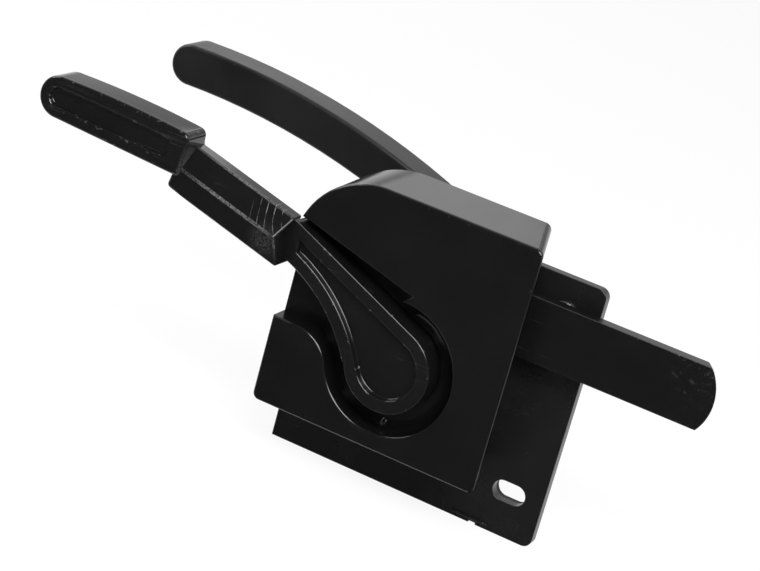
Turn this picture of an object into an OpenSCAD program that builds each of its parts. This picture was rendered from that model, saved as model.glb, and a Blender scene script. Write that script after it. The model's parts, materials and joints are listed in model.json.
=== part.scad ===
// Lever latch for a door: a moulded case on a steel plate, a lever on each side
// of the door on one spindle, and a flat bolt that the spindle's crank draws back.
// X runs along the bolt, Y goes into the door and Z is up. The origin lies on the
// spindle axis, in the plane of the door face.

/* [Plate and gasket] */
// Plate edge to the left of the spindle axis
plate_left = 52; // [50:0.5:60]
// Plate edge to the right of the spindle axis
plate_right = 71.2; // [68:0.1:80]
// Plate edge above the spindle axis
plate_top = 56; // [56:0.5:62]
// Plate edge below the spindle axis
plate_bottom = 58.8; // [54:0.1:64]
// Plate thickness
plate_t = 4.8; // [3:0.1:7]
// Radius of the plate's corners, except the lower left one
plate_corner_r = 4; // [1:0.5:8]
// Gasket thickness
gasket_t = 3; // [2.4:0.1:6]
// How far the gasket lies inside the plate's edge
gasket_inset = 3; // [2:0.5:5]

/* [Fixing holes] */
// Distance of the left column of holes from the plate's left edge
hole_left_in = 13; // [12:0.5:16]
// Distance of the right column of holes from the plate's right edge
hole_right_in = 15.2; // [12:0.1:17]
// Depth of the slots' row below the spindle axis
slot_drop = 39.6; // [39:0.1:44]
// Width of a slot
slot_w = 8.8; // [6:0.1:10]
// End to end length of a slot
slot_l = 14.6; // [12:0.1:17]
// Height of the nuts' row above the spindle axis
nut_rise = 40.5; // [39:0.1:42]
// Radius of the clinch nuts' thread
nut_thread_r = 3.4; // [2:0.1:4]
// Radius of the clinch nuts' collar
nut_collar_r = 5.6; // [5:0.1:6]

/* [Case] */
// Case edge to the left of the spindle axis
case_left = 54.2; // [53:0.1:58]
// Case edge to the right of the spindle axis, at the front
case_right = 49.7; // [46:0.1:54]
// Case edge above the spindle axis, at the front
case_top = 69.8; // [67:0.1:80]
// Case edge below the spindle axis, at the front
case_bottom = 35.8; // [34:0.1:37]
// Case wall
case_wall = 2.6; // [1.6:0.1:3.2]
// How far the right wall leans in towards the plate
right_lean = 8.2; // [4:0.1:9]
// How far the bottom wall leans in towards the plate
bottom_lean = 6; // [4:0.1:7]
// How far the top wall rises towards the plate
top_rise = 3.6; // [0:0.1:5]
// Radius of the top left corner, at the front
nose_front_r = 33.5; // [20:0.1:36]
// Radius of the top left corner, at the plate
nose_back_r = 39; // [26:0.5:42]
// Radius of the other corners
case_corner_r = 3; // [1:0.5:5]

/* [Pocket] */
// Radius of the round well around the lever's hub
pocket_r = 28.3; // [26:0.1:29]
// Depth of the pocket
pocket_depth = 11; // [8:0.1:14]
// Thickness of the pocket's floor
floor_t = 2.4; // [1.6:0.1:4]
// Centre of the rounded block below the lever, left of the axis
block_x = 42; // [40:0.5:44]
// Centre of the rounded block below the lever, below the axis
block_drop = 14.3; // [13:0.1:18]
// Height of the brow over the lever at the case's left edge
brow_rise = 46.4; // [46:0.1:50]
// Right end of the brow, right of the axis
brow_end_x = 1.4; // [0:0.1:4]
// Right end of the brow, above the axis
brow_end_z = 32; // [31:0.1:35]

/* [Front lever] */
// Radius of the lever's hub
hub_r = 19; // [17:0.1:21]
// Width of the raised rim around the hub's web
hub_rim = 5.8; // [4:0.1:7]
// Depth of the web below the rim
web_depth = 3; // [1:0.1:4]
// How far the hub stands out of the case's front
hub_proud = 1.2; // [0.5:0.1:3]
// Slope of the neck's upper edge
neck_slope = 23.5; // [22:0.1:24]
// Radius of the hollow below the neck
hollow_r = 65.8; // [64:0.1:67]
// How far the arm stands out in front of the hub
arm_step = 10; // [6:0.1:14]
// Slope of the arm
arm_slope = 14.3; // [13:0.1:15]
// Length of the arm from the neck to the grip
arm_len = 52; // [49:0.5:56]
// Height of the arm above its ridge
arm_up = 8.7; // [7:0.1:9]
// Height of the arm below its ridge
arm_down = 10.7; // [10:0.1:12]
// Depth of the slanting face above the ridge
shoulder_d = 8.4; // [5:0.1:9]
// Depth of the arm and the grip behind the ridge
arm_depth = 15.2; // [12:0.1:17]
// Half of the grip's height at its tip
grip_r = 9; // [8:0.1:10]
// How much that half height grows up to the arm
grip_flare = 0.3; // [0:0.1:1.5]
// How far the grip's upper edge bows up in its middle
grip_bow = 1; // [0.2:0.1:2]
// Length of the grip up to the centre of its round tip
grip_len = 62.8; // [50:0.1:80]
// Slope of the grip
grip_slope = 2.8; // [0:0.1:6]
// How far the grip stands out in front of the arm's ridge
grip_step = 1.4; // [0.5:0.1:3]
// Height of the groove in the grip
groove_h = 7.4; // [4:0.1:10]
// Depth of the groove in the grip
groove_d = 2.2; // [1:0.1:4]

/* [Rear lever] */
// Gap between the door face and the rear lever
door_gap = 40; // [30:1:60]
// Thickness of the rear lever
rear_t = 17.5; // [12:0.5:22]
// Half of the rear lever's height
rear_half = 9.2; // [7:0.1:10]
// Radius of the rear lever's hub
rear_hub_r = 16; // [13:0.5:20]
// Radius of the bend that leaves the rear hub
goose_r = 48.7; // [40:0.1:54]
// Turn of that bend
goose_turn = 70.4; // [66:0.1:78]
// Radius of the gentle bend along the rear lever
sweep_r = 345; // [300:5:800]
// Turn of the gentle bend
sweep_turn = 20.9; // [12:0.1:24]

/* [Spindle and crank] */
// Side of the square in the front lever and the crank
drive_sq = 11.5; // [10:0.1:12]
// Radius of the front journal
front_journal_r = 8.6; // [8.5:0.1:9]
// Wall of the two spindle bushes
bush_wall = 1.9; // [1.2:0.1:2.2]
// Thickness of the crank
crank_t = 4; // [3:0.1:6]
// Radius of the crank's hub
crank_hub_r = 13; // [12:0.1:13.5]
// Width of the crank's arm
crank_w = 13; // [10:0.1:14]
// Radius of the crank pin
pin_r = 4; // [3:0.1:4.2]
// Radius of the roller on the crank pin
roller_r = 5.6; // [5:0.1:6]
// Turn of the lever from its rest to its stop, in degrees
lever_swing = 20; // [16:0.5:20]

/* [Bolt] */
// Height of the bolt
bolt_h = 26.2; // [25:0.1:28]
// Thickness of the bolt
bolt_t = 6.35; // [5:0.05:8]
// Height of the bolt's centreline above the spindle axis
bolt_rise = 34; // [33.5:0.1:35]
// Reach of the bolt's tip from the spindle axis
bolt_reach = 127.6; // [100:0.1:150]
// Radius of the bolt's rounded end
bolt_end_r = 22.4; // [18:0.1:30]
// How far the bolt's end slopes back from its front face
bolt_bevel = 2.8; // [0.5:0.1:3.5]
// Length of the bolt's tail left of the spindle axis
bolt_tail = 14; // [13.5:0.1:15]

/* [Return spring] */
// Mean radius of the spring's coil
spring_r = 3.6; // [3.3:0.1:3.8]
// Radius of the spring's wire
wire_r = 0.6; // [0.4:0.05:0.7]
// Number of turns
spring_turns = 9; // [6:1:11]
// Radius of the guide rod inside the spring
rod_r = 2.4; // [1.5:0.1:2.5]

/* [Hidden] */
$fn = 64;
// Clearances
over = 1;               // overrun of a cut past a face
slide_gap = 0.3;        // between pieces that slide or roll past each other
run_gap = 0.05;         // between a journal and its bush
seat_gap = 0.05;        // between a fastener and its hole
floor_gap = 0.8;        // between a moving piece and a wall beside it
washer_gap = 0.2;       // between the thrust washer and the pocket's floor
tuck = 0.03;            // how far a straight side starts inside the arc that it leaves
skin = 0.01;            // thickness of the slices that a tapered wall spans

// Layers along Y, from the door face to the front
plate_back = -gasket_t;
plate_front = plate_back - plate_t;
crank_back = plate_front - floor_gap;
crank_front = crank_back - crank_t;
bolt_back = crank_front - 2 * slide_gap;
bolt_front = bolt_back - bolt_t;
floor_back = bolt_front - floor_gap;
floor_front = floor_back - floor_t;
case_front = floor_front - pocket_depth;
hub_front = case_front - hub_proud;
washer_t = 0.6;
hub_back = floor_front - washer_gap - washer_t;
arm_front = hub_front - arm_step;
grip_front = arm_front - grip_step;
arm_back = arm_front + arm_depth;
spring_y = (floor_back + plate_front) / 2;
wall_front = case_front + case_wall;

// Columns of the fixing holes
hole_columns = [hole_left_in - plate_left, plate_right - hole_right_in];

// Front lever: how far its marks lie outside or inside the case's left edge, and where they start
neck_out = 4.4;
web_in = 3.7;
ridge_out = 3.3;
ridge_drop = 0.1;
neck_fork = 5;
neck_block = 11;
neck_lap = 2;
neck_relief = 1;
neck_dip = 4.4;
arm_heel = 6.6;
arm_brink = 1.3;
hollow_tilt = 24.3;
hollow_lift = 0.4;
grip_lap = 2.2;
grip_lift = 5.8;
grip_relief = 0.5;
lower_bevel = 1.6;
groove_end = 8;
socket_floor = 2;
roll_r = 1.6;
roll_top = 9;
roll_recess = 3;
washer_in = 3;
web_r = hub_r - hub_rim;
neck_left = case_left + neck_out;
neck_web_left = case_left - web_in;
hollow_reach = hollow_r + hub_r + hollow_lift;
ridge_x = case_left + ridge_out;
ridge_z = (hub_r + ridge_x * sin(neck_slope)) / cos(neck_slope) - arm_up - ridge_drop;
grip_x = ridge_x + (arm_len - grip_lap) * cos(arm_slope) - grip_lift * sin(arm_slope);
grip_z = ridge_z + (arm_len - grip_lap) * sin(arm_slope) + grip_lift * cos(arm_slope);
socket_front = hub_front + web_depth + socket_floor;
roll_y = (socket_front + hub_back) / 2;

// Spindle, crank and bolt
square_share = 1.4;
eye_wall = 3.5;
end_drop = 0.5;
rear_journal_r = drive_sq / 2 - run_gap;
rear_sq = square_share * rear_journal_r;
half_swing = lever_swing / 2;
pin_x = bolt_rise * sin(half_swing);
pin_z = bolt_rise * cos(half_swing);
crank_eye_r = pin_r + eye_wall;
bolt_low = bolt_rise - bolt_h / 2;
bolt_high = bolt_rise + bolt_h / 2;
bolt_end_x = bolt_reach - bolt_end_r;
bolt_end_z = bolt_rise - end_drop;
track_r = roller_r + slide_gap;
bolt_travel = 2 * pin_x;

// Case inside
boss_r = 3.8;
rib_half = 11;
rib_h = 3.4;
back_lap = 2;
guide_len = 8;
guide_wall = 2.4;
rod_head_t = 1.4;
rod_seat = 0.6;
rod_room = 2;
cup_t = 1.5;
bush_boss_r = front_journal_r + run_gap + bush_wall + case_wall;
bush_back = crank_front - 2 * slide_gap;
back_right = case_right - right_lean - case_wall;
guide_x1 = back_right - slide_gap;
guide_x0 = guide_x1 - guide_len;
rod_x0 = -case_left + case_wall + rod_seat;
rod_head_r = spring_r + wire_r + slide_gap;
cup_r = spring_r + wire_r + 2 * slide_gap;

// Fasteners
screw_r = 1.75;
screw_head_r = 3.2;
screw_len = 16;
screw_left = case_left - case_wall - 2 * boss_r;
screw_high = bolt_high + slide_gap + boss_r;
screw_low = 0.6 * (case_bottom - bottom_lean);
screw_places = [[boss_r - screw_left, screw_high], [guide_x0 - boss_r - back_lap, screw_high],
    [-screw_left, -screw_low], [back_right - 2 * boss_r, -screw_low]];
stop_r = 3.5;
stop_shank_r = 2.5;
stop_reach = 22;
nut_proud = 1.4;
nut_wall = 1.2;
nut_body_r = nut_thread_r + nut_wall;
cap_r = 2.5;
cap_head_r = 4.4;
cap_head_h = 3;
cap_len = 16;
rear_wall = 4;
rear_end = door_gap + rear_t;
rear_washer_t = 1;
rear_washer_rim = 2;
flange_t = 1;
flange_rim = 0.75;
ring_t = 1;
ring_bite = 0.6;
ring_room = 2;
ring_r = rear_journal_r + run_gap + bush_wall + flange_rim;
ring_y = plate_back + flange_t + slide_gap;
groove_r = rear_journal_r - ring_bite;

STEEL = "#3a3b3d";
BLACK = "#1c1d1f";
SATIN = "#2a2b2c";
RUBBER = "#161616";
NYLON = "#d9d4c4";
ZINC = "#b9bcc0";
BRONZE = "#a8834a";

// Extrudes a flat shape drawn in X and Z from depth y0 to depth y1
module slab(y0, y1) {
    translate([0, y1, 0]) rotate([90, 0, 0]) linear_extrude(y1 - y0) children();
}

// Extrudes a flat shape drawn in Y and Z from x0 to x1
module bar(x0, x1) {
    translate([x0, 0, 0]) rotate([90, 0, 90]) linear_extrude(x1 - x0) children();
}

module rod_y(x, z, r, y0, y1) {
    translate([x, y1, z]) rotate([90, 0, 0]) cylinder(r = r, h = y1 - y0);
}

module rod_x(y, z, r, x0, x1) {
    translate([x0, y, z]) rotate([0, 90, 0]) cylinder(r = r, h = x1 - x0);
}

module block(x0, x1, y0, y1, z0, z1) {
    translate([x0, y0, z0]) cube([x1 - x0, y1 - y0, z1 - z0]);
}

// The waste outside a rounded corner; sx and sz say which way the corner points
module corner_waste(x, z, r, sx, sz) {
    difference() {
        translate([sx > 0 ? x - r : x - over, sz > 0 ? z - r : z - over]) square(r + over);
        translate([x - sx * r, z - sz * r]) circle(r);
    }
}

module square_hole(side) {
    square(side, center = true);
}

module slot_shape(grow) {
    reach = (slot_l - slot_w) / 2;
    for (side = [-1, 1]) translate([side * reach, 0]) circle(slot_w / 2 + grow);
    translate([-reach, -slot_w / 2 - grow]) square([2 * reach, slot_w + 2 * grow]);
}

module at_slots() {
    for (x = hole_columns) translate([x, -slot_drop]) children();
}

module at_nuts() {
    for (x = hole_columns) translate([x, nut_rise]) children();
}

// Places of the two stops that the crank's arm comes to rest on
function stop_place(side) =
    let (offset = crank_w / 2 + stop_r + slide_gap)
    [side * (stop_reach * sin(half_swing) + offset * cos(half_swing)),
     stop_reach * cos(half_swing) - offset * sin(half_swing)];

module plate_shape(inset) {
    left = plate_left - inset;
    right = plate_right - inset;
    low = plate_bottom - inset;
    high = plate_top - inset;
    difference() {
        translate([-left, -low]) square([left + right, low + high]);
        corner_waste(right, high, plate_corner_r, 1, 1);
        corner_waste(right, -low, plate_corner_r, 1, -1);
        corner_waste(-left, high, plate_corner_r, -1, 1);
    }
}

module mounting_plate() {
    lip_in = 20.2;
    lip_len = 16.2;
    lip_rise = 2;
    lip_h = 1;
    lip_d = 1.2;
    notch_in = 28.4;
    notch_w = 3;
    notch_h = 0.8;
    lip_x1 = plate_right - lip_in;
    lip_z0 = lip_rise - plate_bottom;
    color(BLACK) {
        difference() {
            slab(plate_front, plate_back) difference() {
                plate_shape(0);
                circle(rear_journal_r + run_gap + bush_wall);
                at_slots() slot_shape(0);
                at_nuts() circle(nut_body_r);
                for (p = screw_places) translate(p) circle(screw_r + seat_gap);
                for (side = [-1, 1]) translate(stop_place(side)) circle(stop_shank_r);
                translate([plate_right - notch_in, -plate_bottom - over]) square([notch_w, notch_h + over]);
            }
            for (p = screw_places) translate([p[0], plate_back, p[1]]) rotate([90, 0, 0])
                cylinder(r1 = screw_head_r + seat_gap, r2 = screw_r + seat_gap, h = screw_head_r - screw_r);
        }
        block(lip_x1 - lip_len, lip_x1, plate_front - lip_d, plate_front, lip_z0, lip_z0 + lip_h);
    }
}

module gasket() {
    color(RUBBER) slab(plate_back, 0) difference() {
        plate_shape(gasket_inset);
        circle(ring_r + ring_room);
        at_slots() slot_shape(slide_gap);
        at_nuts() circle(nut_thread_r + 2 * slide_gap);
    }
}

module clinch_nuts() {
    color(ZINC) difference() {
        union() {
            slab(plate_front - nut_proud, plate_front) at_nuts() circle(nut_collar_r);
            slab(plate_front, plate_back) at_nuts() circle(nut_body_r);
        }
        slab(plate_front - nut_proud - over, plate_back + over) at_nuts() circle(nut_thread_r);
    }
}

module case_shape(left, right, low, high, nose_r, inset) {
    difference() {
        translate([-left + inset, -low + inset]) square([left + right - 2 * inset, low + high - 2 * inset]);
        corner_waste(-left + inset, high - inset, nose_r - inset, -1, 1);
        corner_waste(right - inset, high - inset, case_corner_r, 1, 1);
        corner_waste(right - inset, -low + inset, case_corner_r, 1, -1);
        corner_waste(-left + inset, -low + inset, case_corner_r, -1, -1);
    }
}

// The tapered body of the case; inset shrinks it for the inside
module case_body(inset, y0, y1) {
    hull() {
        slab(y0, y0 + skin) case_shape(case_left, case_right, case_bottom, case_top, nose_front_r, inset);
        slab(y1 - skin, y1) case_shape(case_left, case_right - right_lean, case_bottom - bottom_lean,
                                       case_top + top_rise, nose_back_r, inset);
    }
}

// The pocket's outline: a round well, and a channel to the left between the brow and the block
module pocket_shape(grow) {
    run_out = 4;
    block_r = norm([block_x, block_drop]) - pocket_r;
    edge = case_left + run_out;
    brow_slope = (brow_rise - brow_end_z) / (case_left + brow_end_x);
    brow_edge = brow_rise + run_out * brow_slope;
    cusp_x = brow_end_x + grow / 2;
    circle(pocket_r + grow);
    difference() {
        polygon([[-edge, brow_edge + grow], [cusp_x, brow_end_z + grow], [cusp_x - run_out, pocket_r - over],
                 [0, 0], [-block_x, -block_drop], [-edge, -block_drop]]);
        translate([-block_x, -block_drop]) circle(block_r - grow);
        translate([-edge - over, -block_drop - over])
            square([edge + over - block_x, block_r - grow + over]);
    }
}

module case_inside() {
    difference() {
        case_body(case_wall, wall_front, plate_front + over);
        slab(case_front, floor_back) pocket_shape(case_wall);
        rod_y(0, 0, bush_boss_r, floor_back - over, bush_back);
        for (p = screw_places) rod_y(p[0], p[1], boss_r, wall_front - over, plate_front + 2 * over);
        rod_x(spring_y, bolt_rise, rod_head_r, -case_left, rod_x0);
        block(-case_left, case_right, plate_front - case_wall, plate_front + 2 * over,
              plate_top - back_lap, case_top + top_rise);
        block(-rib_half, rib_half, floor_back - over, bolt_back,
              bolt_low - slide_gap - rib_h, bolt_low - slide_gap);
        block(-rib_half, rib_half, wall_front - over, bolt_back, bolt_high + slide_gap,
              bolt_high + slide_gap + rib_h);
    }
}

module case() {
    color(BLACK) difference() {
        case_body(0, case_front, plate_front);
        case_inside();
        slab(case_front - over, floor_front) pocket_shape(0);
        rod_y(0, 0, front_journal_r + run_gap + bush_wall, floor_front - over, bush_back + over);
        block(guide_x1, case_right + over, bolt_front - slide_gap, bolt_back + slide_gap,
              bolt_low - slide_gap, bolt_high + slide_gap);
        for (p = screw_places)
            rod_y(p[0], p[1], screw_r + seat_gap, plate_back - screw_len - over, plate_front + over);
        rod_x(spring_y, bolt_rise, rod_r + seat_gap, -case_left - over, rod_x0 + over);
    }
}

module case_screws() {
    color(ZINC) for (p = screw_places) translate([p[0], plate_back, p[1]]) rotate([90, 0, 0]) {
        cylinder(r1 = screw_head_r, r2 = screw_r, h = screw_head_r - screw_r);
        cylinder(r = screw_r, h = screw_len);
    }
}

module front_bush() {
    color(BRONZE) slab(floor_front, bush_back) difference() {
        circle(front_journal_r + run_gap + bush_wall);
        circle(front_journal_r + run_gap);
    }
}

module rear_bush() {
    color(BRONZE) difference() {
        union() {
            rod_y(0, 0, rear_journal_r + run_gap + bush_wall, plate_front, plate_back);
            rod_y(0, 0, ring_r, plate_back, plate_back + flange_t);
        }
        rod_y(0, 0, rear_journal_r + run_gap, plate_front - over, plate_back + flange_t + over);
    }
}

// A block clamped between the case's front and the plate, with a window for the bolt
module bolt_guide() {
    color(NYLON) difference() {
        block(guide_x0, guide_x1, wall_front, plate_front,
              bolt_low - slide_gap - guide_wall, bolt_high + slide_gap + guide_wall);
        block(guide_x0 - over, guide_x1 + over, bolt_front - slide_gap, bolt_back + slide_gap,
              bolt_low - slide_gap, bolt_high + slide_gap);
    }
}

module stop_pins() {
    color(ZINC) for (side = [-1, 1]) {
        p = stop_place(side);
        rod_y(p[0], p[1], stop_r, crank_front, plate_front);
        rod_y(p[0], p[1], stop_shank_r, plate_front, plate_back);
    }
}

module spring_rod() {
    rod_end = -bolt_tail - cup_t - bolt_travel - rod_room;
    color(ZINC) {
        rod_x(spring_y, bolt_rise, rod_head_r, rod_x0, rod_x0 + rod_head_t);
        rod_x(spring_y, bolt_rise, rod_r, -case_left, rod_end);
    }
}

// A helix of round wire between the rod's head and the cup on the bolt's tail
module return_spring() {
    x0 = rod_x0 + rod_head_t + wire_r;
    x1 = -bolt_tail - cup_t - wire_r;
    steps = 10;
    sides = 8;
    rings = spring_turns * steps;
    function wire_point(i, k) =
        let (turn = 360 * i / steps, side = 360 * k / sides, r = spring_r + wire_r * cos(side))
        [x0 + (x1 - x0) * i / rings + wire_r * sin(side),
         spring_y + r * sin(turn), bolt_rise + r * cos(turn)];
    points = [for (i = [0:rings]) for (k = [0:sides - 1]) wire_point(i, k)];
    walls = [for (i = [0:rings - 1]) for (k = [0:sides - 1])
        let (a = i * sides + k, b = i * sides + (k + 1) % sides)
        each [[a, a + sides, b], [b, a + sides, b + sides]]];
    caps = [[for (k = [0:sides - 1]) k], [for (k = [0:sides - 1]) rings * sides + sides - 1 - k]];
    color(STEEL) polyhedron(points, concat(walls, caps));
}

// The lever's hub and neck: a round that runs out to the left under a straight upper edge
module teardrop(r, left) {
    s = sin(neck_slope);
    c = cos(neck_slope);
    side = r - tuck;
    circle(r);
    difference() {
        polygon([[0, 0], [side * s, side * c], [-left, (side + left * s) / c],
                 [-left, -neck_fork], [-r, -neck_fork]]);
        rotate(hollow_tilt) translate([-hollow_reach, 0]) circle(hollow_r + hub_r - r);
    }
}

module in_arm() {
    translate([-ridge_x, 0, ridge_z]) rotate([0, arm_slope, 0]) children();
}

// The waste in front of a face that slopes back from the arm's ridge
module ridge_waste(depth, rise) {
    polygon([[arm_front - over, 0], [arm_front, 0], [arm_front + depth, rise],
             [arm_front + depth, 2 * rise], [arm_front - over, 2 * rise]]);
}

// The arm: its front has a ridge, with a steep face above it and a shallow one below,
// and its right end is cut back to the ridge from a longer heel
module lever_arm() {
    in_arm() difference() {
        union() {
            slab(arm_front, arm_back)
                polygon([[-arm_len, -arm_down], [arm_heel, -arm_down], [0, 0], [arm_brink, arm_up],
                         [-arm_len, arm_up]]);
            block(-neck_block, neck_lap, hub_front, hub_back - neck_relief, -arm_down, arm_up - neck_dip);
        }
        bar(-arm_len - over, arm_heel + over) ridge_waste(shoulder_d, arm_up);
        bar(-arm_len - over, arm_heel + over) ridge_waste(lower_bevel, -arm_down);
    }
}

// The hub and the neck; the neck's end is less deep than the arm that it joins
module lever_hub() {
    difference() {
        slab(hub_front, hub_back) teardrop(hub_r, neck_left);
        block(-neck_left - over, -case_left, arm_back - neck_relief, hub_back + over, 0, 2 * ridge_z);
    }
}

// A bar with a round left end, whose half height grows by flare up to its right end and
// whose upper edge bows up between them
module grip_shape(r, left, right, flare, bow) {
    bends = 10;
    upper = [for (i = [bends:-1:0]) let (t = i / bends)
        [-left + t * (left - right), r - tuck + t * (flare + tuck) + 4 * bow * t * (1 - t)]];
    translate([-left, 0]) circle(r);
    polygon(concat([[-left, tuck - r], [-right, -r - flare]], upper));
}

module lever_grip() {
    translate([-grip_x, 0, grip_z]) rotate([0, grip_slope, 0]) difference() {
        slab(grip_front, arm_back - grip_relief) grip_shape(grip_r, grip_len, 0, grip_flare, grip_bow);
        slab(grip_front - over, grip_front + groove_d)
            grip_shape(groove_h / 2, grip_len, groove_end, -tuck, grip_bow / 2);
    }
}

module front_lever() {
    color(BLACK) difference() {
        union() {
            lever_hub();
            lever_arm();
            lever_grip();
        }
        slab(hub_front - over, hub_front + web_depth) teardrop(web_r, neck_web_left);
        slab(socket_front, hub_back + over) square_hole(drive_sq);
        translate([0, roll_y, -hub_r - over]) cylinder(r = roll_r, h = hub_r + over + roll_top);
    }
}

module roll_pin() {
    color(STEEL) translate([0, roll_y, -hub_r + roll_recess])
        cylinder(r = roll_r, h = hub_r - roll_recess + roll_top);
}

module spindle() {
    tail_end = rear_end - rear_wall;
    color(ZINC) difference() {
        union() {
            slab(socket_front, hub_back) square_hole(drive_sq);
            rod_y(0, 0, front_journal_r, hub_back, crank_front);
            slab(crank_front, crank_back) square_hole(drive_sq);
            rod_y(0, 0, rear_journal_r, crank_back, 0);
            slab(0, tail_end) square_hole(rear_sq);
        }
        translate([0, roll_y, -drive_sq]) cylinder(r = roll_r, h = 2 * drive_sq);
        rod_y(0, 0, cap_r, tail_end - cap_len, tail_end + over);
        difference() {
            rod_y(0, 0, rear_journal_r + over, ring_y, ring_y + ring_t);
            rod_y(0, 0, groove_r, plate_back, 0);
        }
    }
}

module thrust_washer() {
    color(NYLON) slab(hub_back, hub_back + washer_t) difference() {
        circle(hub_r - washer_in);
        circle(front_journal_r + run_gap);
    }
}

module crank() {
    color(STEEL) slab(crank_front, crank_back) difference() {
        union() {
            circle(crank_hub_r);
            rotate(-half_swing) translate([-crank_w / 2, 0]) square([crank_w, bolt_rise]);
            translate([pin_x, pin_z]) circle(crank_eye_r);
        }
        square_hole(drive_sq);
        translate([pin_x, pin_z]) circle(pin_r + seat_gap);
    }
}

module crank_pin() {
    color(ZINC) rod_y(pin_x, pin_z, pin_r, bolt_front, crank_back);
}

module crank_roller() {
    color(NYLON) slab(bolt_front + slide_gap, bolt_back) translate([pin_x, pin_z]) difference() {
        circle(roller_r);
        circle(pin_r + run_gap);
    }
}

module retaining_ring() {
    opening = 4;
    color(STEEL) slab(ring_y, ring_y + ring_t) difference() {
        circle(ring_r);
        circle(groove_r + seat_gap);
        translate([-opening / 2, -ring_r - over]) square([opening, ring_r + over]);
    }
}

// Centreline of the rear lever: straight up from the hub, a tight bend, then a gentle one
function goose_point(turn) = [-goose_r * (1 - cos(turn)), goose_r * sin(turn)];
function sweep_point(turn) =
    let (start = 90 - goose_turn, from = goose_point(goose_turn))
    [from[0] - sweep_r * (sin(start) - sin(start - turn)),
     from[1] + sweep_r * (cos(start - turn) - cos(start))];

module rear_shape() {
    bends = 12;
    goose = [for (i = [0:bends]) let (turn = goose_turn * i / bends) [goose_point(turn), turn]];
    sweep = [for (i = [1:bends]) let (turn = sweep_turn * i / bends) [sweep_point(turn), goose_turn + turn]];
    path = concat(goose, sweep);
    last = len(path) - 1;
    upper = [for (p = path) p[0] + rear_half * [cos(p[1]), sin(p[1])]];
    lower = [for (i = [last:-1:0]) path[i][0] - rear_half * [cos(path[i][1]), sin(path[i][1])]];
    polygon(concat(upper, lower));
    translate(path[last][0]) circle(rear_half + tuck);
    circle(rear_hub_r);
}

module rear_lever() {
    color(SATIN) difference() {
        slab(door_gap, rear_end) rear_shape();
        slab(door_gap - over, rear_end - rear_wall) square_hole(rear_sq);
        rod_y(0, 0, cap_r + seat_gap, door_gap, rear_end + over);
    }
}

module rear_washer() {
    color(ZINC) slab(rear_end, rear_end + rear_washer_t) difference() {
        circle(cap_head_r + rear_washer_rim);
        circle(cap_r + seat_gap);
    }
}

module rear_screw() {
    y0 = rear_end + rear_washer_t;
    socket_w = 4;
    color(ZINC) difference() {
        union() {
            rod_y(0, 0, cap_head_r, y0, y0 + cap_head_h);
            rod_y(0, 0, cap_r, y0 - cap_len, y0);
        }
        translate([0, y0 + cap_head_h + over, 0]) rotate([90, 0, 0])
            cylinder(r = socket_w / 2, h = cap_head_h / 2 + over, $fn = 6);
    }
}

// The waste around the bolt's end, which is round and slopes back from its front face
module bolt_end_waste() {
    slope = bolt_bevel / bolt_t;
    difference() {
        block(bolt_end_x, bolt_reach + 2 * over, bolt_front - over, bolt_back + over,
              bolt_low - over, bolt_high + over);
        translate([bolt_end_x, bolt_back + 2 * over, bolt_end_z]) rotate([90, 0, 0])
            cylinder(r1 = bolt_end_r - bolt_bevel - 2 * over * slope, r2 = bolt_end_r + 2 * over * slope,
                     h = bolt_t + 4 * over);
    }
}

// A flat bar with a round end, and an upright track in its tail for the crank's roller
module bolt() {
    track_low = pin_z - slide_gap;
    track_high = bolt_rise + slide_gap;
    color(BLACK) difference() {
        block(-bolt_tail, bolt_reach + over, bolt_front, bolt_back, bolt_low, bolt_high);
        bolt_end_waste();
        slab(bolt_front - over, bolt_back + over) {
            translate([pin_x, track_low]) circle(track_r);
            translate([pin_x, track_high]) circle(track_r);
            translate([pin_x - track_r + tuck, track_low])
                square([2 * (track_r - tuck), track_high - track_low]);
        }
    }
}

module spring_cup() {
    color(ZINC) rod_x(spring_y, bolt_rise, cup_r, -bolt_tail - cup_t, -bolt_tail);
}

mounting_plate();
gasket();
clinch_nuts();
case();
case_screws();
front_bush();
rear_bush();
bolt_guide();
stop_pins();
spring_rod();
return_spring();
front_lever();
roll_pin();
spindle();
thrust_washer();
crank();
crank_pin();
crank_roller();
retaining_ring();
rear_lever();
rear_washer();
rear_screw();
bolt();
spring_cup();
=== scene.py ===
"""Looks of the lever latch: rounded edges, worn black finishes and a white studio.

Everything is in metres in the CAD frame: X along the bolt, Y into the door, Z up.
"""
import json
import math

import bmesh
import bpy
from mathutils import Matrix, Vector

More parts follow.
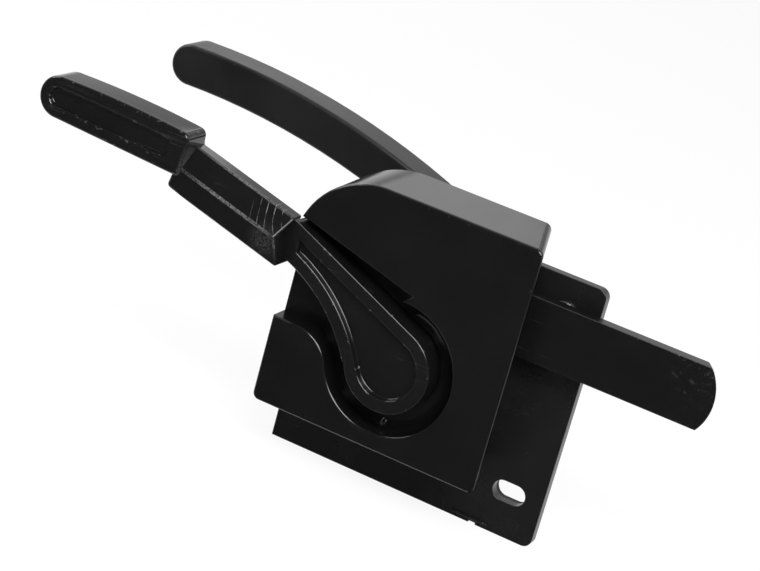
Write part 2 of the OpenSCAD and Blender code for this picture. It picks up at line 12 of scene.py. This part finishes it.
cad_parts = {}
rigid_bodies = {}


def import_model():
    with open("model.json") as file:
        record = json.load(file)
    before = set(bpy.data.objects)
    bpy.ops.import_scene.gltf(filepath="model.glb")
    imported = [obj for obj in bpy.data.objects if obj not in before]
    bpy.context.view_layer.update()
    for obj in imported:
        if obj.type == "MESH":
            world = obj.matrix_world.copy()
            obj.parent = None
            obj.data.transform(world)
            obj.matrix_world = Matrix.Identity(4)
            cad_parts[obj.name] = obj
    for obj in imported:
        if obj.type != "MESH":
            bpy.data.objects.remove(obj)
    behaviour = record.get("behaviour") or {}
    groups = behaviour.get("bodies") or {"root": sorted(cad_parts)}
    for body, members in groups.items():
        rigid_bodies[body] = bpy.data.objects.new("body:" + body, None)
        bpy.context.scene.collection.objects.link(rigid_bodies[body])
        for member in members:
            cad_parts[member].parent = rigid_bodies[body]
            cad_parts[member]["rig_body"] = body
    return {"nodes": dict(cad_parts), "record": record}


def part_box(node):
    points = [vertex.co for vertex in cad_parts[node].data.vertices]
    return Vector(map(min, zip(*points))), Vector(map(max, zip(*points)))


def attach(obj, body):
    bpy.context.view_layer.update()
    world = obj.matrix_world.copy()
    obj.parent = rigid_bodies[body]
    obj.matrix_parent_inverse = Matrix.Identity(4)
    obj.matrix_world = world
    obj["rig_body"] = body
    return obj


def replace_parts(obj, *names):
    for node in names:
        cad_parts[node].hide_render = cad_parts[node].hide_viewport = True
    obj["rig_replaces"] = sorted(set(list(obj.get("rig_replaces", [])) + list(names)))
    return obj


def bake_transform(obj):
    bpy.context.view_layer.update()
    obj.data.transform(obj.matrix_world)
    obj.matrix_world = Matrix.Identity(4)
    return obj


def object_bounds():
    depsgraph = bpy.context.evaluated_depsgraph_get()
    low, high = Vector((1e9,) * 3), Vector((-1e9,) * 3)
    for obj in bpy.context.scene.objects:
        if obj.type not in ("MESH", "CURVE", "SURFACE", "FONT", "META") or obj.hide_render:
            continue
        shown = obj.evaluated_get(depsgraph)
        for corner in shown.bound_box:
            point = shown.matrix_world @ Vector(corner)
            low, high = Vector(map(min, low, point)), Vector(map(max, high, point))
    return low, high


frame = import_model()
cad_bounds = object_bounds()

MM = 0.001

# The photograph's camera
PHOTO_WIDTH = 760
FOCAL_PIXELS = 2400
SENSOR_MM = 36
CAMERA_AZIMUTH = 21.3
CAMERA_ELEVATION = 18.75
CAMERA_ROLL = 15.45
CAMERA_PLACE = Vector((316.33, -876.43, 338.61)) * MM

# What reflections show, by direction: white behind the object, a darker band above the horizon, a
# grey floor, a white card low at the left front, and a dark room on the camera's side
BEHIND_SPAN = (-0.35, 0.1)
UNDER_SPAN = (-0.45, -0.65)
ROOM_TONE = 0.085
FILL_TONE = 0.5
BAND_HEIGHT = 0.36
BAND_REACH = 0.2
BAND_TONE = 0.45
UNDER_TONE = 0.15
CARD_TOWARD = (-0.6, -0.49, -0.62)
CARD_EDGE = (0.975, 0.99)
FLOOR_REACH = 3.0
FLOOR_GLOW = 0.88
FLOOR_TONE = 0.9

# How meshes are cleaned and which edges count as sharp, in degrees and millimetres, and how far an
# edge may lean from straight back
SHARP_ANGLE = 28
FLAT_ANGLE = 0.4
DEEP_SHARE = 0.98
WELD_MM = 0.002
DRESS_WELD_MM = 0.13

# The lever's rubbed places, in millimetres
SCUFF_PLACE = Vector((-62.0, -44.3, 34.0))
SCUFF_REACH = 8
SCRATCH_PLACE = Vector((-63.0, -40.0, 44.5))
SCRATCH_REACH = 10
SCRATCH_CENTRE = Vector((-32.0, 0.0, 58.0))
SCRATCH_PITCH = 3.1
SCRATCH_WIDTH = 0.09
RIDGE_PLACE = Vector((-80.0, -45.0, 42.5))
RIDGE_REACH = 30
BOLT_RUB_PLACE = Vector((117.0, -19.5, 42.0))
BOLT_RUB_REACH = 16


def add_camera():
    azimuth, elevation, roll = (math.radians(a) for a in (CAMERA_AZIMUTH, CAMERA_ELEVATION, CAMERA_ROLL))
    toward = Vector((math.sin(azimuth) * math.cos(elevation),
                     -math.cos(azimuth) * math.cos(elevation), math.sin(elevation)))
    level = (-toward).cross(Vector((0, 0, 1))).normalized()
    upright = level.cross(-toward)
    right = math.cos(roll) * level + math.sin(roll) * upright
    up = -math.sin(roll) * level + math.cos(roll) * upright
    data = bpy.data.cameras.new("camera")
    data.sensor_width = SENSOR_MM
    data.sensor_fit = "HORIZONTAL"
    data.lens = FOCAL_PIXELS / PHOTO_WIDTH * SENSOR_MM
    data.clip_start = 0.01
    camera = bpy.data.objects.new("camera", data)
    camera.matrix_world = Matrix((
        (right.x, up.x, toward.x, CAMERA_PLACE.x),
        (right.y, up.y, toward.y, CAMERA_PLACE.y),
        (right.z, up.z, toward.z, CAMERA_PLACE.z),
        (0, 0, 0, 1)))
    bpy.context.scene.collection.objects.link(camera)
    bpy.context.scene.camera = camera


class Nodes:
    """A short way to build the node tree of a material or the world."""

    def __init__(self, owner):
        owner.use_nodes = True
        self.owner = owner
        self.tree = owner.node_tree
        self.tree.nodes.clear()

    def add(self, kind, inputs=None, **settings):
        made = self.tree.nodes.new(kind)
        for key, value in settings.items():
            setattr(made, key, value)
        for key, value in (inputs or {}).items():
            if isinstance(value, bpy.types.NodeSocket):
                self.tree.links.new(value, made.inputs[key])
            else:
                made.inputs[key].default_value = value
        return made

    def math(self, operation, a, b=0.0, clamp=False):
        return self.add("ShaderNodeMath", {0: a, 1: b}, operation=operation, use_clamp=clamp).outputs[0]

    def span(self, value, low, high, to_low=0.0, to_high=1.0):
        made = self.add("ShaderNodeMapRange", {"Value": value, "From Min": low, "From Max": high,
                                               "To Min": to_low, "To Max": to_high})
        return made.outputs[0]

    def noise(self, place, scale, detail=4.0, rough=0.55, distortion=0.0):
        made = self.add("ShaderNodeTexNoise", {"Vector": place, "Scale": scale, "Detail": detail,
                                               "Roughness": rough, "Distortion": distortion})
        return made.outputs["Fac"]

    def mix(self, share, a, b):
        made = self.add("ShaderNodeMix", data_type="RGBA")
        for socket, value in ((made.inputs[0], share), (made.inputs[6], a), (made.inputs[7], b)):
            if isinstance(value, bpy.types.NodeSocket):
                self.tree.links.new(value, socket)
            else:
                socket.default_value = value
        return made.outputs[2]

    def place(self, scale=(1, 1, 1), turn=(0, 0, 0)):
        coordinates = self.add("ShaderNodeTexCoord").outputs["Object"]
        made = self.add("ShaderNodeMapping", {"Vector": coordinates, "Scale": scale, "Rotation": turn})
        return made.outputs[0]

    def patch(self, centre_mm, reach_mm):
        """1 at a place on the object, falling to 0 at reach."""
        here = self.add("ShaderNodeTexCoord").outputs["Object"]
        away = self.add("ShaderNodeVectorMath", {0: here, 1: centre_mm * MM}, operation="DISTANCE")
        return self.span(away.outputs["Value"], reach_mm * MM * 0.35, reach_mm * MM, 1.0, 0.0)

    def finish(self, shader):
        kind = "World" if isinstance(self.owner, bpy.types.World) else "Material"
        self.add("ShaderNodeOutput" + kind, {"Surface": shader.outputs[0]})
        return self.owner


def grey(value, alpha=1.0):
    return (value, value, value, alpha)


def hairlines(n, cloud):
    """Fine straight scratches in three directions, in clouded patches."""
    streaks = None
    for turn in ((0, 0.5, 0), (0, -0.35, 0), (0, 1.25, 0)):
        lane = n.noise(n.place((22, 160, 1800), turn), 1.0, 2, 0.5, 0.15)
        line = n.span(lane, 0.69, 0.74)
        streaks = line if streaks is None else n.math("MAXIMUM", streaks, line)
    return n.math("MULTIPLY", streaks, n.span(cloud, 0.45, 0.65), clamp=True)


def arc_scratches(n):
    """Thin arcs where something has dragged across the lever."""
    here = n.add("ShaderNodeTexCoord").outputs["Object"]
    away = n.add("ShaderNodeVectorMath", {0: here, 1: SCRATCH_CENTRE * MM}, operation="SUBTRACT").outputs[0]
    flat = n.add("ShaderNodeVectorMath", {0: away, 1: (1, 0, 1)}, operation="MULTIPLY").outputs[0]
    radius = n.add("ShaderNodeVectorMath", {0: flat}, operation="LENGTH").outputs["Value"]
    wander = n.math("MULTIPLY", n.noise(here, 45, 1, 0.5), SCRATCH_PITCH * MM)
    turns = n.math("DIVIDE", n.math("ADD", radius, wander), SCRATCH_PITCH * MM)
    rings = n.span(n.math("FRACT", turns), SCRATCH_WIDTH * 0.6, SCRATCH_WIDTH, 1.0, 0.0)
    broken = n.span(n.noise(here, 160, 2, 0.5), 0.4, 0.55)
    return n.math("MULTIPLY", n.math("MULTIPLY", rings, broken), n.patch(SCRATCH_PLACE, SCRATCH_REACH))


def rubbed(n, place_mm, reach_mm, grain, low, high):
    """Grey rubbing in a patch, with a coarse grain."""
    return n.math("MULTIPLY", n.patch(place_mm, reach_mm), n.span(grain, low, high), clamp=True)


def black_finish(name, base, rough, peel_mm, peel, wear, wear_grey, scratch=0.0, marks_of=None):
    """A black moulded or painted finish: uneven gloss, fine waves, rubbed edges and hairline scratches."""
    n = Nodes(bpy.data.materials.new(name))
    here = n.place()
    cloud = n.noise(here, 38, 5, 0.6)
    grain = n.noise(here, 1 / (peel_mm * MM), 3, 0.5)
    rub = n.noise(here, 420, 6, 0.7)
    edge = n.add("ShaderNodeAttribute", attribute_name="wear").outputs["Fac"]
    marks = n.math("MULTIPLY", edge, n.span(rub, 0.66 - wear * 0.25, 0.78), clamp=True)
    if scratch:
        marks = n.math("MAXIMUM", marks, n.math("MULTIPLY", hairlines(n, cloud), scratch))
    if marks_of:
        marks = n.math("MAXIMUM", marks, marks_of(n, rub, edge), clamp=True)
    tone = n.mix(n.span(cloud, 0.3, 0.7), grey(base * 0.85), grey(base * 1.2))
    colour = n.mix(marks, tone, grey(wear_grey))
    gloss = n.span(cloud, 0.25, 0.75, rough * 0.82, rough * 1.25)
    gloss = n.math("ADD", gloss, n.math("MULTIPLY", marks, 0.25), clamp=True)
    bump = n.add("ShaderNodeBump", {"Height": grain, "Strength": peel, "Distance": 0.00006})
    shader = n.add("ShaderNodeBsdfPrincipled", {"Base Color": colour, "Roughness": gloss,
                                                "IOR": 1.47, "Normal": bump.outputs[0]})
    return n.finish(shader)


def lever_marks(n, rub, edge):
    speckle = n.noise(n.place(), 1600, 3, 0.6)
    scuff = n.math("MULTIPLY", rubbed(n, SCUFF_PLACE, SCUFF_REACH, speckle, 0.4, 0.75), 0.24)
    ridge = n.math("MULTIPLY", rubbed(n, RIDGE_PLACE, RIDGE_REACH, speckle, 0.38, 0.6), edge)
    return n.math("MAXIMUM", n.math("MAXIMUM", scuff, n.math("MULTIPLY", ridge, 0.7)), arc_scratches(n))


def bolt_marks(n, rub, edge):
    return n.math("MULTIPLY", rubbed(n, BOLT_RUB_PLACE, BOLT_RUB_REACH, rub, 0.56, 0.68), 0.2)


def metal_finish(name, base, rough, stretch):
    """Plated or drawn metal: fine lines along one direction, uneven tone and dull patches."""
    n = Nodes(bpy.data.materials.new(name))
    lines = n.noise(n.place(stretch), 1.0, 4, 0.6)
    cloud = n.noise(n.place(), 120, 4, 0.6)
    tone = n.mix(n.span(cloud, 0.3, 0.7), tuple(c * 0.78 for c in base) + (1,), tuple(base) + (1,))
    gloss = n.span(n.math("ADD", n.math("MULTIPLY", lines, 0.6), n.math("MULTIPLY", cloud, 0.4)),
                   0.3, 0.7, rough * 0.75, rough * 1.3)
    bump = n.add("ShaderNodeBump", {"Height": lines, "Strength": 0.12, "Distance": 0.00005})
    shader = n.add("ShaderNodeBsdfPrincipled", {"Base Color": tone, "Roughness": gloss,
                                                "Metallic": 1.0, "Normal": bump.outputs[0]})
    return n.finish(shader)


def soft_finish(name, base, rough, grain_mm):
    """Rubber or nylon: a matt grain and faint cloudiness."""
    n = Nodes(bpy.data.materials.new(name))
    here = n.place()
    cloud = n.noise(here, 90, 4, 0.6)
    grain = n.noise(here, 1 / (grain_mm * MM), 5, 0.7)
    tone = n.mix(n.span(cloud, 0.3, 0.7), tuple(c * 0.86 for c in base) + (1,), tuple(base) + (1,))
    gloss = n.span(grain, 0.3, 0.7, rough * 0.9, min(rough * 1.12, 1))
    bump = n.add("ShaderNodeBump", {"Height": grain, "Strength": 0.25, "Distance": 0.0001})
    shader = n.add("ShaderNodeBsdfPrincipled", {"Base Color": tone, "Roughness": gloss,
                                                "Normal": bump.outputs[0]})
    return n.finish(shader)


def make_finishes():
    drawn = (60, 60, 2600)
    return {
        "case_plastic": black_finish("case_plastic", 0.004, 0.17, 0.9, 0.10, 0.2, 0.05),
        "lever_gloss": black_finish("lever_gloss", 0.005, 0.1, 1.3, 0.08, 0.3, 0.16, 0.12, lever_marks),
        "lever_satin": black_finish("lever_satin", 0.008, 0.33, 0.5, 0.2, 0.1, 0.05),
        "plate_paint": black_finish("plate_paint", 0.007, 0.26, 0.6, 0.18, 0.3, 0.06, 0.15),
        "bolt_paint": black_finish("bolt_paint", 0.004, 0.22, 0.6, 0.15, 0.35, 0.1, 0.3, bolt_marks),
        "gasket_rubber": soft_finish("gasket_rubber", (0.012, 0.012, 0.012), 0.75, 0.35),
        "zinc_steel": metal_finish("zinc_steel", (0.55, 0.56, 0.58), 0.32, drawn),
        "spring_steel": metal_finish("spring_steel", (0.32, 0.32, 0.33), 0.28, drawn),
        "dark_steel": metal_finish("dark_steel", (0.12, 0.12, 0.125), 0.42, drawn),
        "bronze": metal_finish("bronze", (0.5, 0.34, 0.16), 0.38, drawn),
        "nylon": soft_finish("nylon", (0.78, 0.75, 0.66), 0.5, 0.3),
    }


def near(value, target, slack=0.02):
    return abs(value - target) < slack


def is_sharp(edge):
    return len(edge.link_faces) == 2 and edge.calc_face_angle(0) > math.radians(SHARP_ANGLE)


def round_edges(bm, wear, pick, radius, segments):
    """Rounds the sharp edges that pick accepts, and marks convex ones as open to wear."""
    edges = [e for e in bm.edges if is_sharp(e) and pick(e)]
    if not edges:
        return
    convex = all(e.is_convex for e in edges)
    made = bmesh.ops.bevel(bm, geom=edges, offset=radius * MM, offset_type="OFFSET", segments=segments,
                           profile=0.5, affect="EDGES", clamp_overlap=False, loop_slide=True)
    if convex:
        for face in made["faces"]:
            face[wear] = 1.0


def dressed(node, rounds, stretch_to=None):
    """A copy of a CAD node with rounded edges, which stands for it. rounds lists (pick, radius in mm,
    segments). With stretch_to, the piece is left in the CAD frame and attached to no body; the body named
    is not used."""
    source = frame["nodes"][node]
    bm = bmesh.new()
    bm.from_mesh(source.data)
    bmesh.ops.remove_doubles(bm, verts=bm.verts, dist=DRESS_WELD_MM * MM)
    bmesh.ops.dissolve_limit(bm, angle_limit=math.radians(FLAT_ANGLE), use_dissolve_boundaries=False,
                             verts=bm.verts, edges=bm.edges, delimit=set())
    wear = bm.faces.layers.float.new("wear")
    for pick, radius, segments in rounds:
        round_edges(bm, wear, pick, radius, segments)
    mesh = bpy.data.meshes.new(node + "_dressed")
    bm.to_mesh(mesh)
    bm.free()
    mesh.set_sharp_from_angle(angle=math.radians(SHARP_ANGLE))
    for polygon in mesh.polygons:
        polygon.use_smooth = True
    piece = bpy.data.objects.new(node + "_dressed", mesh)
    bpy.context.scene.collection.objects.link(piece)
    normals = piece.modifiers.new("normals", "WEIGHTED_NORMAL")
    normals.keep_sharp = True
    if stretch_to:
        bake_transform(piece)
    else:
        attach(piece, source["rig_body"])
    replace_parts(piece, node)
    slot = slot_of[node]
    piece.data.materials.append(finishes[slot])
    return piece


def ease(node, radius):
    """Gives a small CAD node eased edges and its finish."""
    obj = frame["nodes"][node]
    weld = obj.modifiers.new("weld", "WELD")
    weld.merge_threshold = WELD_MM * MM
    bevel = obj.modifiers.new("ease", "BEVEL")
    bevel.width = radius * MM
    bevel.segments = 2
    bevel.limit_method = "ANGLE"
    bevel.angle_limit = math.radians(SHARP_ANGLE)
    bevel.harden_normals = True
    obj.data.materials.clear()
    obj.data.materials.append(finishes[slot_of[node]])


def ends(edge):
    return [v.co / MM for v in edge.verts]


def middle(edge):
    a, b = ends(edge)
    return (a + b) / 2


def flat_at(y):
    """Picks edges that lie at one depth."""
    return lambda e: all(near(p.y, y) for p in ends(e))


def runs_deep(edge):
    """True on an edge that runs straight back, such as a bar's corner."""
    a, b = ends(edge)
    return abs((b - a).normalized().y) > DEEP_SHARE


def convex_edge(edge):
    return edge.is_convex


def concave_edge(edge):
    return not edge.is_convex


def add_floor():
    """A white floor that keeps the shadow, and that reflections look through to the world."""
    low, high = cad_bounds
    mesh = bpy.data.meshes.new("floor")
    corners = [(x * FLOOR_REACH, y * FLOOR_REACH, low[2]) for x, y in ((-1, -1), (1, -1), (1, 1), (-1, 1))]
    mesh.from_pydata(corners, [], [(0, 1, 2, 3)])
    floor = bpy.data.objects.new("floor", mesh)
    bpy.context.scene.collection.objects.link(floor)
    n = Nodes(bpy.data.materials.new("floor"))
    path = n.add("ShaderNodeLightPath")
    seen = n.math("ADD", path.outputs["Is Camera Ray"], path.outputs["Is Transmission Ray"], clamp=True)
    matt = n.add("ShaderNodeBsdfDiffuse", {"Color": grey(FLOOR_TONE)})
    white = n.add("ShaderNodeEmission", {"Color": grey(1.0), "Strength": 1.0})
    share = n.math("MULTIPLY", seen, FLOOR_GLOW)
    pale = n.add("ShaderNodeMixShader", {0: share, 1: matt.outputs[0], 2: white.outputs[0]})
    clear = n.add("ShaderNodeBsdfTransparent")
    mesh.materials.append(n.finish(n.add("ShaderNodeMixShader", {0: path.outputs["Is Glossy Ray"],
                                                                 1: pale.outputs[0], 2: clear.outputs[0]})))


def add_world():
    """White to the camera, a soft even fill, and a tone by direction in reflections."""
    world = bpy.data.worlds.new("studio")
    bpy.context.scene.world = world
    n = Nodes(world)
    path = n.add("ShaderNodeLightPath")
    clear = n.math("ADD", path.outputs["Is Camera Ray"], path.outputs["Is Transmission Ray"], clamp=True)
    heading = n.add("ShaderNodeTexCoord").outputs["Generated"]
    toward = n.add("ShaderNodeSeparateXYZ", {0: heading})
    behind = n.span(toward.outputs["Y"], *BEHIND_SPAN)
    under = n.span(toward.outputs["Z"], *UNDER_SPAN, 0.0, UNDER_TONE)
    facing = n.add("ShaderNodeVectorMath", {0: heading, 1: CARD_TOWARD}, operation="DOT_PRODUCT")
    card = n.span(facing.outputs["Value"], *CARD_EDGE)
    lit = n.math("MAXIMUM", n.math("MAXIMUM", behind, under), card)
    above = n.math("ABSOLUTE", n.math("SUBTRACT", toward.outputs["Z"], BAND_HEIGHT))
    sweep = n.span(above, 0.0, BAND_REACH, BAND_TONE, 1.0)
    mirrored = n.math("MAXIMUM", n.math("MULTIPLY", lit, sweep), ROOM_TONE)
    tone = n.mix(path.outputs["Is Glossy Ray"], grey(FILL_TONE), mirrored)
    colour = n.mix(clear, tone, grey(1.0))
    n.finish(n.add("ShaderNodeBackground", {"Color": colour}))


def add_softbox(name, place, aim, width, height, watts):
    data = bpy.data.lights.new(name, "AREA")
    data.shape = "RECTANGLE"
    data.size = width
    data.size_y = height
    data.energy = watts
    lamp = bpy.data.objects.new(name, data)
    lamp.location = place
    lamp.rotation_euler = (Vector(aim) - Vector(place)).to_track_quat("-Z", "Y").to_euler()
    lamp.visible_camera = False
    bpy.context.scene.collection.objects.link(lamp)


def add_lights():
    add_softbox("back_box", (-0.75, 0.95, 0.82), (0, 0, 0.03), 0.9, 0.45, 1.2)
    add_softbox("side_box", (-1.05, 0.8, 0.78), (0, 0, 0.03), 0.4, 0.45, 1.6)
    add_softbox("front_box", (0.58, -0.72, 0.74), (0, 0, 0), 0.8, 0.6, 14)
    add_softbox("edge_box", (0.17, -0.74, 0.86), (0, 0, 0), 0.3, 0.3, 4)
    add_softbox("left_box", (-0.95, -0.2, 0.7), (0, 0, 0.02), 0.5, 0.5, 4)


finishes = make_finishes()
slot_of = {part["node"]: part["material_slot"] for part in frame["record"]["subparts"]}

case_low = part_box("case")[0] / MM
lever_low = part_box("front_lever")[0] / MM
pin_low, pin_high = (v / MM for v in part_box("roll_pin"))

# Where the case's and the lever's edges lie, in millimetres
CASE_FRONT = case_low.y
CASE_LEFT = case_low.x
WELL_R = 28.3
WELL_SLACK = 0.3
FLOOR_DEPTH = 11.0
HUB_PROUD = 1.2
WEB_DEPTH = 3.0
GROOVE_DEPTH = 2.2
WEB_FLOOR = CASE_FRONT - HUB_PROUD + WEB_DEPTH
GROOVE_FLOOR = lever_low.y + GROOVE_DEPTH
GRIP_END = CASE_LEFT - 46
GRIP_ROOT_Z = 55.0
ARM_LOW_Z = 45.0
ARM_RIGHT = CASE_LEFT + 2
PIN_MARGIN = 0.8

# Radii of the rounded edges, in millimetres
WELL_FOOT_R = 7.0
CASE_RIM_R = 1.4
GRIP_ROOT_R = 3.0
ARM_CORNER_R = 1.8
GRIP_EDGE_R = 1.5
LEVER_EDGE_R = 0.8
HOLLOW_FOOT_R = 0.9
REAR_EDGE_R = 1.8
BOLT_EDGE_R = 0.6
PLATE_EDGE_R = 0.35
SMALL_PART_R = 0.15


def well_foot(edge):
    """True where the round well's wall meets its floor, away from the lever's channel."""
    spot = middle(edge)
    return (flat_at(CASE_FRONT + FLOOR_DEPTH)(edge) and concave_edge(edge) and spot.x > 0
            and near(math.hypot(spot.x, spot.z), WELL_R, WELL_SLACK))


def on_grip(edge):
    return middle(edge).x < GRIP_END


def grip_edge(edge):
    return convex_edge(edge) and on_grip(edge)


def root_corner(edge):
    """True on the grip's upper corner, over the arm."""
    return runs_deep(edge) and grip_edge(edge) and middle(edge).z > GRIP_ROOT_Z


def arm_corner(edge):
    """True on the two lower corners of the arm."""
    spot = middle(edge)
    return runs_deep(edge) and convex_edge(edge) and spot.x < ARM_RIGHT and spot.z < ARM_LOW_Z


def lever_edge(edge):
    """True on the lever's convex edges, apart from the mouths of the roll pin's hole."""
    spot = middle(edge)
    mouth = all(pin_low[i] - PIN_MARGIN < spot[i] < pin_high[i] + PIN_MARGIN for i in (0, 1))
    return convex_edge(edge) and not mouth


def hollow_foot(edge):
    """True around the floors of the hub's web and the grip's groove."""
    return concave_edge(edge) and (flat_at(WEB_FLOOR)(edge) or flat_at(GROOVE_FLOOR)(edge))


dressed("case", [
    (well_foot, WELL_FOOT_R, 8),
    (flat_at(CASE_FRONT), CASE_RIM_R, 5),
])
dressed("front_lever", [
    (root_corner, GRIP_ROOT_R, 6),
    (arm_corner, ARM_CORNER_R, 6),
    (grip_edge, GRIP_EDGE_R, 5),
    (lever_edge, LEVER_EDGE_R, 4),
    (hollow_foot, HOLLOW_FOOT_R, 4),
])
dressed("rear_lever", [(convex_edge, REAR_EDGE_R, 5)])
dressed("bolt", [(convex_edge, BOLT_EDGE_R, 4)])
dressed("mounting_plate", [(convex_edge, PLATE_EDGE_R, 3)])
dressed("return_spring", [], stretch_to="bolt_bar")
shown = {o["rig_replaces"][0] for o in bpy.data.objects if "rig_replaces" in o}
for node in frame["nodes"]:
    if node not in shown:
        ease(node, SMALL_PART_R)

add_camera()
add_floor()
add_world()
add_lights()
bpy.context.scene.view_settings.view_transform = "Standard"
